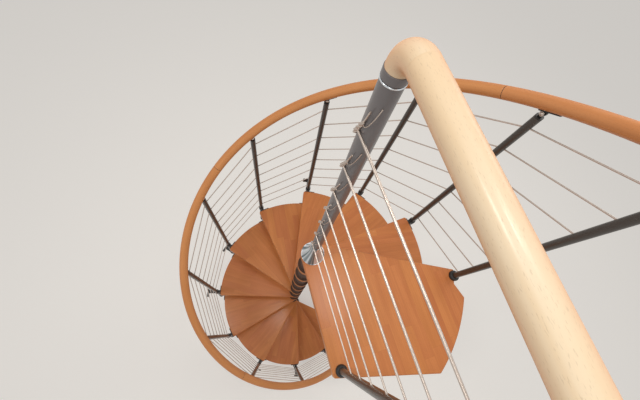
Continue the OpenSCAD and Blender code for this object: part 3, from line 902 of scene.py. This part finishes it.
class STAIR_OT_newel(bpy.types.Operator):
    """Makes the newel post with its foot, its collar over one bright ring, and its bright
    skirt. The skirt's outside is an arc, r + b - sqrt(b^2 - (f - z)^2), under a sleeve,
    and its foot is rolled to a bead."""

    bl_idname = "stair.newel"
    bl_label = "Newel post"

    def execute(self, context):
        size = context.scene.stair_sizes
        r, top, collar = size.newel, size.newel_height, size.newel_height + size.collar
        foot, foot_height, ring_top = 0.03, 0.005, top + 0.003
        groove, proud = 0.0015, 0.001
        tube = eased([(0, 0), (foot, 0), (foot, foot_height), (r, foot_height),
                      (r, top - 0.001), (r, top), (0, top)], 0.0008)
        ring = eased([(0, top + 0.0001), (r + proud, top), (r + proud, ring_top),
                      (0, ring_top)], 0.0009)
        band = eased([(0, ring_top), (r - proud, ring_top), (r - proud, ring_top + groove),
                      (r + proud, ring_top + groove), (r + proud, collar), (0, collar)],
                     0.0007)
        flare, sleeve, sheet = size.skirt_flare, r + 0.0023, size.skirt_sheet
        spread = size.skirt_radius - sleeve
        bend = (spread ** 2 + flare ** 2) / (2 * spread)
        z = np.linspace(flare, 2 * sheet, 40)
        curve = sleeve + bend - np.sqrt(bend ** 2 - (flare - z) ** 2)
        outer = np.concatenate([[(sleeve, size.skirt_height - 0.001),
                                 (sleeve, flare + 0.01)], np.stack([curve, z], -1)])
        slope = unit(np.gradient(outer, axis=0))
        inner = outer + sheet * np.stack([slope[:, 1], -slope[:, 0]], -1)
        inner[0, 1] = outer[0, 1]
        lip = [(sleeve - 0.0006, size.skirt_height), (sleeve - 0.0013, size.skirt_height)]
        roll, bead = np.linspace(math.radians(118), math.radians(-90), 13), 0.0017
        rolled = np.stack([outer[-1, 0] + 0.0005 + bead * np.cos(roll),
                           sheet + bead * np.sin(roll)], -1)
        skirt = np.concatenate([lip[:1], outer, rolled, inner[::-1], lip[1:], lip[:1]])
        at = places((0, 0, LANDING_TOP), (0, 0, 1))
        for name, profiles, sides, finishes, slot, node in (
                ("newel_tube", [tube], 64, ["grey_powder_coat"], "grey_paint",
                 "newel_post"),
                ("newel_band", [band, ring], 64, ["grey_powder_coat", "chrome_plate"],
                 "grey_paint", "newel_collar"),
                # painted reflection: the skirt's finish carries painted reflection streaks
                ("skirt_spun", [skirt], 72, ["drawn_chrome"], "bright_steel",
                 "newel_cone")):
            make_piece(name, [{"points": revolved(profile, at, sides), "finish": number}
                              for number, profile in enumerate(profiles)],
                       finishes, [node])
        return {"FINISHED"}


# Wires

class STAIR_OT_wires(bpy.types.Operator):
    """Makes the wire ropes of the outer balustrade and of the landing, and the twisted
    bundle, the stub and the curled tail of each of the landing's wires on the newel."""

    bl_idname = "stair.wires"
    bl_label = "Wires"

    def execute(self, context):
        size = context.scene.stair_sizes
        heights = size.wire_low + size.wire_pitch * np.arange(size.wires)
        holes = baluster_feet(size)[None] + polar(0, 0, heights)[:, None]
        make_piece("outer_wires", [rods(holes[:, :-1].reshape(-1, 3),
                                        holes[:, 1:].reshape(-1, 3), size.wire, 14)],
                   ["wire_rope"],
                   [f"wires_{number:02d}" for number in range(1, TREADS + 1)])
        heights = LANDING_TOP + size.landing_wire_low + size.landing_wire_pitch * np.arange(
            size.landing_wires)
        starts = polar(size.newel + size.wire, size.post_turn - math.pi / 2, heights)
        ends = polar(size.post_distance, size.post_turn, heights)
        make_piece("landing_wire_ropes", [rods(starts, ends, size.wire, 18)],
                   ["wire_rope"], ["landing_wires"])

        def round_newel(turn, lift, off):
            """A path round the newel post for each wire, and the vectors out of the post:
            the turn in radians from 18 degrees before the wire, the lift over the wire and
            the distance off the post, all along the path."""
            angle = size.post_turn - math.radians(108) + turn
            out, line = polar(1, angle), polar(size.newel + off, angle, lift)
            up = polar(0, 0, heights)[:, None]
            return line[None] + up, np.broadcast_to(out, (len(up), *out.shape))

        t = np.linspace(0, 1, 41)
        swell = np.clip(8 * np.minimum(t + 0.03, 1.03 - t), 0, 1) ** 0.5
        bundle = carried(*round_newel(0.86 * t - 0.26, 0.05 * t - 0.02, 0.0034),
                         (0.0042 - 0.0012 * t) * swell, 18, (3, 0.015))
        stub = carried(*round_newel(0.52 + 0.3 * t, 0.027 + 0.034 * t,
                                    0.003 + 0.003 * t ** 2), 0.0016, 8)
        tail = carried(*round_newel(0.5 + 0.95 * t,
                                    0.024 - 0.012 * np.sin(3 * t) + 0.05 * t ** 1.6,
                                    0.0016 + 0.0012 * np.sin(math.pi * t)), 0.0009, 8)
        make_piece("wire_knots", [bundle, stub, tail], ["zinc_plate"])
        return {"FINISHED"}


# Moulded and pressed parts

def eased_copy(node, name, coat, width):
    """Replaces a CAD node by a copy with its sharp edges bevelled to the given width."""
    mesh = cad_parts[node].data.copy()
    mesh.name = name
    build = bmesh.new()
    build.from_mesh(mesh)
    bmesh.ops.remove_doubles(build, verts=build.verts, dist=SAME_PLACE)
    bmesh.ops.dissolve_limit(build, angle_limit=math.radians(1), verts=build.verts,
                             edges=build.edges)
    sharp = [e for e in build.edges if len(e.link_faces) == 2
             and e.calc_face_angle(0) > math.radians(38)]
    bmesh.ops.bevel(build, geom=sharp, offset=width, segments=2, profile=0.5,
                    affect="EDGES", clamp_overlap=True)
    build.to_mesh(mesh)
    build.free()
    mesh.materials.clear()
    mesh.polygons.foreach_set("material_index", np.zeros(len(mesh.polygons), int))
    piece = put_piece(mesh, [coat], [node], 32)
    piece.modifiers.new("weighted_normals", "WEIGHTED_NORMAL").keep_sharp = True


class STAIR_OT_fittings(bpy.types.Operator):
    """Makes the clamps, brackets, saddles, feet and the base plate."""

    bl_idname = "stair.fittings"
    bl_label = "Fittings"

    def execute(self, context):
        nylon, paint = ("moulded_nylon", "black_nylon"), ("dark_powder_coat", "dark_paint")
        for node, name, (coat, slot), width in (
                ("baluster_clamps", "clamp_mouldings", nylon, 0.0008),
                ("wall_brackets", "wall_mouldings", nylon, 0.0008),
                ("rail_saddles", "saddle_mouldings", nylon, 0.0005),
                ("post_feet", "foot_mouldings", nylon, 0.0008),
                ("base_plate", "base_disc", paint, 0.0008),
                ("landing_brackets", "bracket_angles", paint, 0.0008)):
            eased_copy(node, name, coat, width)
        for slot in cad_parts["centre_pole"].material_slots:
            slot.material = finish("grey_powder_coat")
        return {"FINISHED"}


# Screws and bolts

# Radius and height of the head, its sides, and the socket's radius and depth
SCREWS = {
    "hinge": (0.0056, 0.0034, 24, 0.0021, 0.002),
    "saddle": (0.0034, 0.0013, 12, 0.0014, 0.001),
    "tread": (0.0038, 0.0018, 12, 0.0015, 0.0012),
    "clamp": (0.0036, 0.0022, 12, 0.0015, 0.0014),
    "plate": (0.0036, 0.0018, 12, 0.0015, 0.0012),
    "bracket": (0.0062, 0.003, 24, 0.0024, 0.002),
}


def hexagon(sides):
    """The radius of a hexagon of unit half width at each of a circle's angles."""
    a = np.linspace(0, 2 * math.pi, sides + 1)
    return 1 / np.cos((a + math.pi / 6) % (math.pi / 3) - math.pi / 6)


def heads(kind, origins, axes, hint=(0.0, 0.0, 1.0)):
    """Domed screw heads with a socket: from the socket's bottom up its side, over the dome
    (s + (r - s) sin t, h cos t) and down to the seat, which lies a little inside the part
    it holds. The socket is a hexagon."""
    radius, height, sides, socket, depth = SCREWS[kind]
    t, seat = np.linspace(0.25, math.pi / 2, 4), -0.0004
    dome = np.stack([socket + (radius - socket) * np.sin(t), height * np.cos(t)], -1)
    profile = np.concatenate([[(0, height - depth), (socket, height - depth),
                               (socket, height)], dome, [(radius, seat), (0, seat)]])
    lobes = np.ones((len(profile), sides + 1))
    lobes[1:3] = 0.93 * hexagon(sides)
    return {"points": revolved(profile, places(origins, axes, hint), sides, lobes)}


def nuts(profile, rows, at, sides=36):
    """Nuts or bolts: a profile turned round, hexagonal in the given rows."""
    lobes = np.ones((len(profile), sides + 1))
    lobes[rows] = hexagon(sides)
    return {"points": revolved(profile, at, sides, lobes)}


def hinge_screws(size):
    """The hinge bolts under the rails, with a washer on each side, and the screws through
    the saddles into the rails."""
    steps = np.arange(TREADS + 1.0)
    path, out, rise = helix(size, steps)
    post_rail = corner_foot(size) + (0, 0, landing_rail_height(size))
    outwards = np.concatenate([out, [polar(1, size.post_turn + math.pi / 2)]])
    hinges = np.concatenate([path, [post_rail]]) - (0, 0, size.hinge_drop)
    # half the hinge's width, the washers' and the saddles' thickness, and the distance
    # along the rail from a hinge to a screw
    ears, washer, saddle, spacing = 0.0075, 0.001, 0.0031, 0.023
    ring = eased([(0, -0.0002), (0.0074, -0.0002), (0.0074, washer), (0, washer)],
                 0.0003, 1)
    patches = []
    for side in (-1, 1):
        origins, axes = hinges + side * ears * outwards, side * outwards
        patches.append({"points": revolved(ring, places(origins, axes), 20)})
        patches.append(heads("hinge", origins + washer * axes, axes))
    along = np.concatenate([np.cross(out, rise), [polar(1, size.post_turn)]])
    down = np.concatenate([-rise, [(0, 0, -1)]])
    seats = np.concatenate([path, [post_rail]]) + (size.rail + saddle) * down
    for reach in (-spacing, spacing):
        patches.append(heads("saddle", seats + reach * along, down, (1.0, 0.0, 0.0)))
    return patches


def clamp_screws(size):
    """The screws through the clamps' plates into the steps, and on each clamp either its
    own screw or, where it holds a bracket, four through the bracket's plate. On side 1 a
    clamp holds the front corner of the baluster's own step, and on side -1 the rear
    corner of the next step down. Every third step has brackets."""
    plate_ring, clamp_ring, bracket_ring = 0.6063, size.ring + 0.0167, 0.694
    steps = np.arange(TREADS + 1.0)
    patches = []
    levels = steps[1:]
    held = levels % 3 == 0
    for side, numbers in ((1, steps[1:]), (-1, steps[:-1])):
        angle, z = numbers * size.turn, LANDING_TOP - levels * RISER - size.board / 2
        for reach in (-0.037, 0.0165):
            at = angle + side * reach / plate_ring
            patches.append(heads("tread", polar(plate_ring, at, z), polar(1, at)))
        patches.append(heads("clamp", polar(clamp_ring, angle, z)[~held],
                             polar(1, angle)[~held]))
        angle, z = angle[held], z[held]
        for across in (-0.012, 0.032):
            for up in (-0.0165, 0.0165):
                origins = (polar(bracket_ring, angle, z + up)
                           + polar(across, angle + math.pi / 2))
                patches.append(heads("plate", origins, -polar(1, angle)))
    return patches


def anchors(size):
    """The anchors of the base plate, with washers and nuts, and in each of the landing's
    brackets two bolts through its upright leg and two screws into the board."""
    washer = eased([(0, 0), (0.012, 0), (0.012, 0.0025), (0, 0.0025)], 0.0006, 2)
    nut = np.array([(0, 0.0025), (0.0086, 0.0025), (0.0093, 0.0033), (0.0093, 0.0117),
                    (0.0086, 0.0125), (0.0062, 0.0125), (0.006, 0.0126), (0.006, 0.019),
                    (0.0052, 0.02), (0, 0.02)])
    bolt = np.array([(0, -0.006), (0.0054, -0.006), (0.0054, 0), (0.0105, 0),
                     (0.0105, 0.002), (0.0078, 0.002), (0.0085, 0.0028), (0.0085, 0.0077),
                     (0.0078, 0.0085), (0, 0.0085)])
    bolt_ring, quarters = 0.095, math.pi / 4 + math.pi / 2 * np.arange(4)
    at = places(polar(bolt_ring, quarters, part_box("base_plate")[1].z), [(0, 0, 1)] * 4)
    patches = [{"points": revolved(washer, at, 36)}, nuts(nut, slice(2, 4), at)]
    # the brackets' thickness, how far down their bolts are and how far in their screws
    leg, down, along = 0.006, 0.0715, 0.056
    arc_corner, post_corner = landing_corners(size) + (0, 0, LANDING_TOP - size.board)
    edge = post_corner - arc_corner
    across = -unit(edge)
    inward = np.array([-across[1], across[0], 0])
    for share in (0.25, 0.75):
        for side in (-0.035, 0.035):
            corner = arc_corner + share * edge + side * across
            upright = places(corner + leg * inward - (0, 0, down), inward)
            patches.append(nuts(bolt, slice(6, 8), upright))
            patches.append(heads("bracket", corner + along * inward - (0, 0, leg),
                                 (0, 0, -1)))
    return patches


class STAIR_OT_screws(bpy.types.Operator):
    """Makes the screws of the hinges, clamps and brackets, and the base's anchors."""

    bl_idname = "stair.screws"
    bl_label = "Screws"

    def execute(self, context):
        size = context.scene.stair_sizes
        make_piece("stair_screws", hinge_screws(size) + clamp_screws(size), ["zinc_plate"],
                   sharp=35)
        make_piece("anchor_bolts", anchors(size), ["zinc_plate"], sharp=30)
        return {"FINISHED"}


# Stage

# The camera's place in metres, and the directions ahead of it, to its right and downwards
CAMERA_PLACE = (-0.0953, -0.3187, 3.9503)
CAMERA_FORWARD = (0.06686, 0.40569, -0.91156)
CAMERA_RIGHT = (0.98361, 0.12651, 0.12844)
CAMERA_DOWN = (0.16743, -0.90522, -0.39058)

# Each lamp's place and target in metres, its width in metres and its power in watts
LAMPS = {
    "key": ((-1.5, -0.4, 6.0), (0.1, -0.2, 2.4), 0.6, 29),
    "top": ((0.05, 0.1, 6.8), (0, 0, 1), 0.35, 21),
    "sheen": ((0.62, 0.3, 6.4), (0, 0, 2), 0.8, 18),
    "front": ((-0.45, -1.7, 5.3), (0, 0, 3), 0.6, 6.5),
    "fill": ((2.6, 2.2, 4.6), (0, 0, 1.6), 1.6, 18),
}


def stand(scene, name, data, place, axes):
    """Puts a lamp or the camera at a place, with the rows of axes as its X, Y and Z."""
    holder = bpy.data.objects.new(name, data)
    matrix = np.eye(4)
    matrix[:3, :3], matrix[:3, 3] = np.transpose(axes), place
    holder.matrix_world = Matrix(matrix.tolist())
    scene.collection.objects.link(holder)
    return holder


class STAIR_OT_stage(bpy.types.Operator):
    """Makes the floor, the soft lights, the pale surroundings and the camera."""

    bl_idname = "stair.stage"
    bl_label = "Stage"

    def execute(self, context):
        scene = context.scene
        scene.view_settings.view_transform = "Standard"
        lens = bpy.data.cameras.new("camera")
        lens.lens, lens.sensor_width = 17.16, 36
        lens.clip_start, lens.clip_end = 0.02, 100
        scene.camera = stand(scene, "camera", lens, CAMERA_PLACE,
                             [CAMERA_RIGHT, -np.array(CAMERA_DOWN),
                              -np.array(CAMERA_FORWARD)])
        reach, level = 20, -0.0005
        floor = bpy.data.meshes.new("floor")
        floor.from_pydata([(-reach, -reach, level), (reach, -reach, level),
                           (reach, reach, level), (-reach, reach, level)], [],
                          [(0, 1, 2, 3)])
        colour = rgba(scene.stair_colours.floor)
        tree, shader = new_finish("pale_floor", {"Roughness": 1, "Specular IOR Level": 0,
                                                 "Base Color": colour,
                                                 "Emission Color": colour})
        feed(shader, {"Emission Strength": seen_directly(tree, 0, 0.24)})
        floor.materials.append(bpy.data.materials["pale_floor"])
        plane = bpy.data.objects.new("floor", floor)
        scene.collection.objects.link(plane)
        scene.world = bpy.data.worlds.new("pale_studio")
        scene.world.use_nodes = True
        tree = scene.world.node_tree
        feed(tree.nodes["Background"], {"Color": (1.0, 0.985, 0.965, 1),
                                        "Strength": seen_directly(tree, 0.45, 0.8)})
        for name, (place, target, width, power) in LAMPS.items():
            lamp = bpy.data.lights.new(name, "AREA")
            lamp.shape, lamp.size, lamp.energy = "DISK", width, power
            lamp.color = (1.0, 0.96, 0.9)
            _, axes = places(place, np.subtract(place, target))
            stand(scene, name, lamp, place, axes[0])
        return {"FINISHED"}


class STAIR_PT_panel(bpy.types.Panel):
    """Lists the staircase's sizes, colours and steps."""

    bl_idname = "STAIR_PT_panel"
    bl_label = "Spiral staircase"
    bl_space_type = "VIEW_3D"
    bl_region_type = "UI"
    bl_category = "Staircase"

    def draw(self, context):
        layout = self.layout
        for group in (context.scene.stair_sizes, context.scene.stair_colours):
            box = layout.box()
            for key in group.__annotations__:
                box.prop(group, key)
        for operator in OPERATORS:
            layout.operator(operator.bl_idname)


OPERATORS = (STAIR_OT_stage, STAIR_OT_treads, STAIR_OT_landing, STAIR_OT_column,
             STAIR_OT_balusters, STAIR_OT_outer_rail, STAIR_OT_landing_rail,
             STAIR_OT_newel, STAIR_OT_wires, STAIR_OT_fittings, STAIR_OT_screws)
CLASSES = (StairSizes, StairColours, *OPERATORS, STAIR_PT_panel)


def register():
    """Adds the classes to Blender, and the sizes and colours to its scenes."""
    for each in CLASSES:
        bpy.utils.register_class(each)
    bpy.types.Scene.stair_sizes = PointerProperty(type=StairSizes)
    bpy.types.Scene.stair_colours = PointerProperty(type=StairColours)


def unregister():
    """Takes the sizes, the colours and the classes out again."""
    del bpy.types.Scene.stair_colours
    del bpy.types.Scene.stair_sizes
    for each in reversed(CLASSES):
        bpy.utils.unregister_class(each)


def main():
    """Makes the stage and the staircase."""
    register()
    bpy.ops.stair.stage()
    bpy.ops.stair.treads()
    bpy.ops.stair.landing()
    bpy.ops.stair.column()
    bpy.ops.stair.balusters()
    bpy.ops.stair.outer_rail()
    bpy.ops.stair.landing_rail()
    bpy.ops.stair.newel()
    bpy.ops.stair.wires()
    bpy.ops.stair.fittings()
    bpy.ops.stair.screws()


if __name__ == "__main__":
    main()
